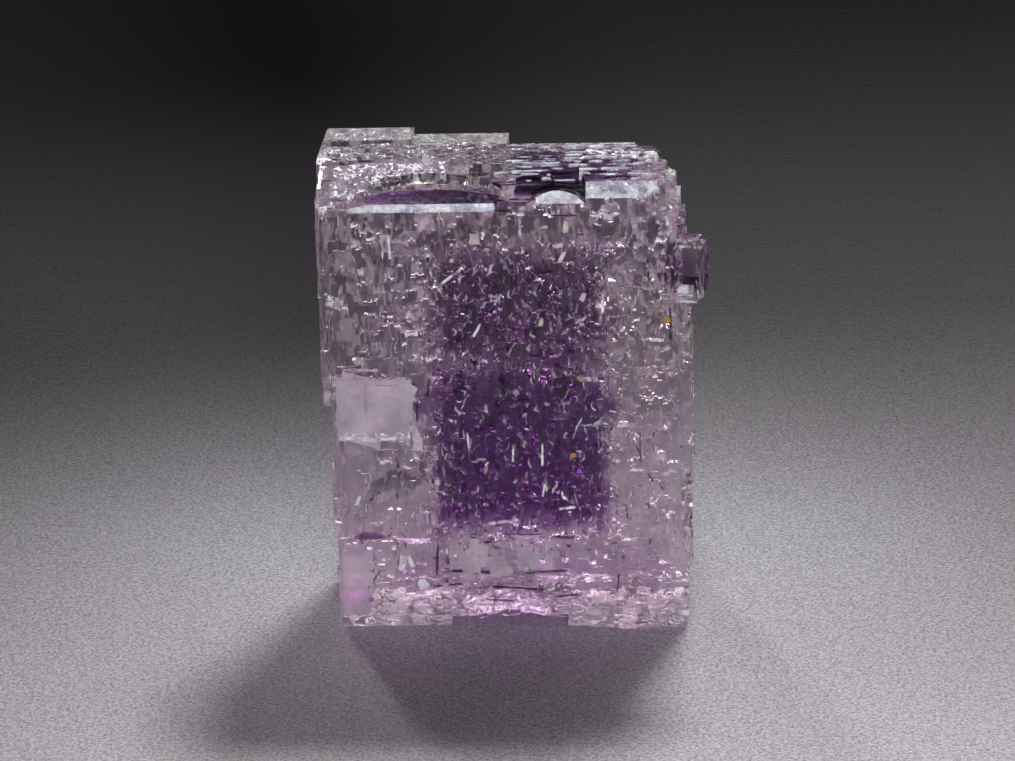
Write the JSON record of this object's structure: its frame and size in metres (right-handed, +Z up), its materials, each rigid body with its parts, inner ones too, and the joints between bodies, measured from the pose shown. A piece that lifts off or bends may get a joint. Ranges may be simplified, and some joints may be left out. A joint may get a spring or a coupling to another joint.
{
  "type": "fluorite crystal",
  "caption": "Stepped cubic-habit crystal of clear and purple fluorite, a tall block with ledges, plates, shell-shaped breaks and a small side crystal.",
  "frame": {"origin": "centre of the bounding box at the bottom, on the surface that the crystal stands on", "axes": "+Z up along the crystal's height, +X to the right along its width, with the small side crystal at +X, +Y to the back through its depth"},
  "size_m": [0.0186, 0.01, 0.0225],
  "materials": {
    "fluorite": "clear and glossy with fine growth steps"
  },
  "bodies": {
    "root": {"fluorite_crystal": "fluorite"}
  },
  "joints": []
}
